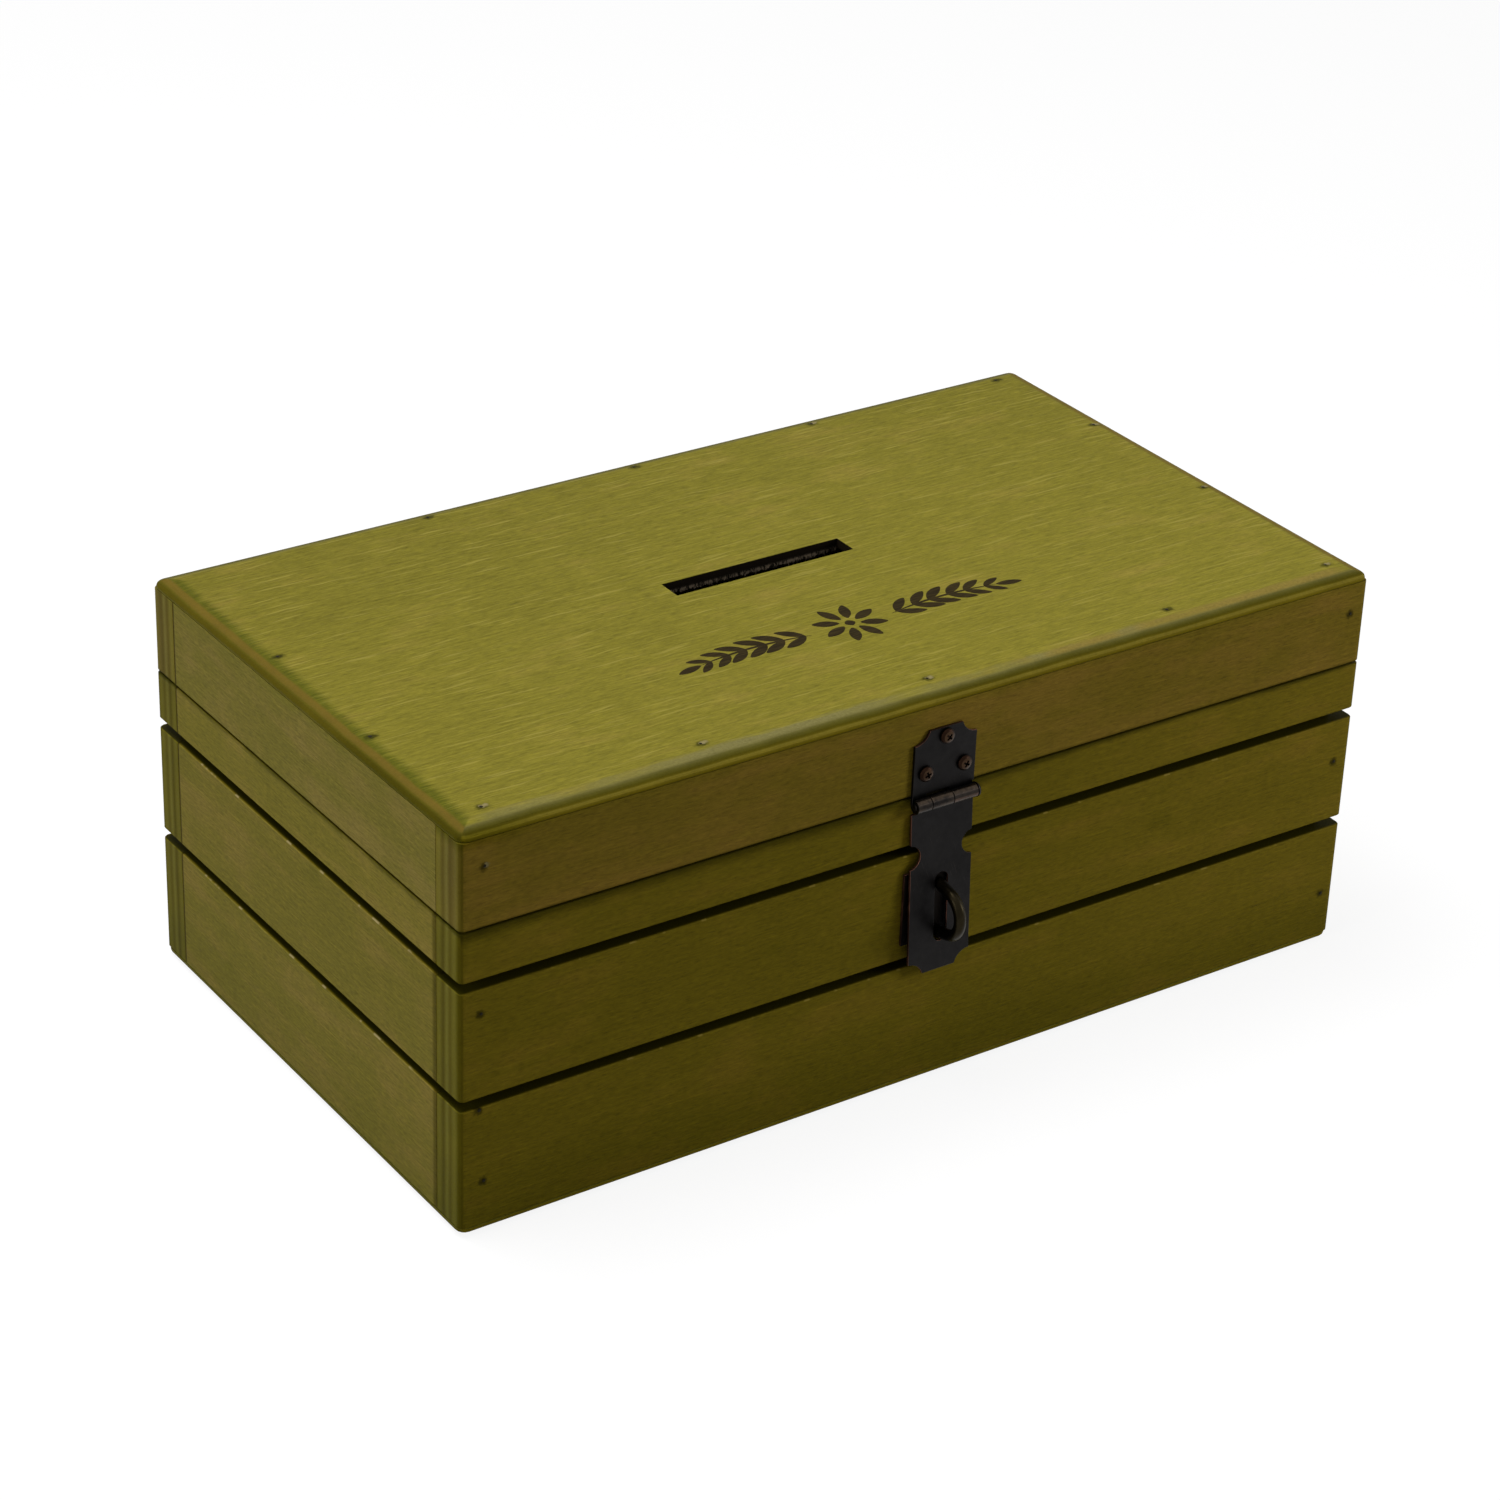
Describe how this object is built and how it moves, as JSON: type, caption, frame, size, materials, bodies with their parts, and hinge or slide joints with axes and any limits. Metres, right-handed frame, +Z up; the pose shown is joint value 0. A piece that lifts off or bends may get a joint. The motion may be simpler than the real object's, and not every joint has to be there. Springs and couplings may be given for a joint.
{
  "type": "tip box",
  "caption": "Rectangular plywood cash box with a hinged lid, a note slot in the lid, grooves sawn round the walls and a padlock hasp and staple on the front.",
  "frame": {"origin": "middle of the underside, on the surface the box stands on", "axes": "+Z up, +X along the box's length to the right as seen from the front, and the front with the hasp faces -Y"},
  "size_m": [0.3, 0.1863, 0.122],
  "materials": {
    "green_stained_plywood": "olive green stain over birch plywood, satin, with the plies showing at the corners",
    "antique_bronze": "thin steel with a dark antique bronze plating, worn at the edges",
    "copper_brown_screw": "steel screws with a copper brown plating"
  },
  "bodies": {
    "box": {"bottom_board": "green_stained_plywood", "front_wall": "green_stained_plywood", "back_wall": "green_stained_plywood", "left_end_wall": "green_stained_plywood", "right_end_wall": "green_stained_plywood", "staple_plate": "antique_bronze", "staple_loop": "antique_bronze", "left_hinge_box_leaf": "antique_bronze", "right_hinge_box_leaf": "antique_bronze", "left_hinge_pin": "antique_bronze", "right_hinge_pin": "antique_bronze", "staple_screw_1": "copper_brown_screw", "staple_screw_2": "copper_brown_screw", "left_hinge_box_leaf_screw_1": "copper_brown_screw", "left_hinge_box_leaf_screw_2": "copper_brown_screw", "right_hinge_box_leaf_screw_1": "copper_brown_screw", "right_hinge_box_leaf_screw_2": "copper_brown_screw"},
    "lid": {"lid_top": "green_stained_plywood", "lid_front_rim": "green_stained_plywood", "lid_back_rim": "green_stained_plywood", "lid_left_rim": "green_stained_plywood", "lid_right_rim": "green_stained_plywood", "hasp_plate": "antique_bronze", "hasp_pin": "antique_bronze", "hasp_screw_1": "copper_brown_screw", "hasp_screw_2": "copper_brown_screw", "hasp_screw_3": "copper_brown_screw", "left_hinge_lid_leaf": "antique_bronze", "right_hinge_lid_leaf": "antique_bronze", "left_hinge_lid_leaf_screw_1": "copper_brown_screw", "left_hinge_lid_leaf_screw_2": "copper_brown_screw", "right_hinge_lid_leaf_screw_1": "copper_brown_screw", "right_hinge_lid_leaf_screw_2": "copper_brown_screw"},
    "hasp_arm": {"hasp_arm": "antique_bronze"}
  },
  "joints": [
    {"name": "lid_open", "type": "hinge", "parent": "box", "child": "lid", "pos_m": [0, 0.0865, 0.0931], "axis": [-1, 0, 0], "range_deg": [0, 180]},
    {"name": "hasp_arm_swing", "type": "hinge", "parent": "lid", "child": "hasp_arm", "pos_m": [0, -0.08675, 0.0913], "axis": [-1, 0, 0], "range_deg": [0, 170]}
  ]
}
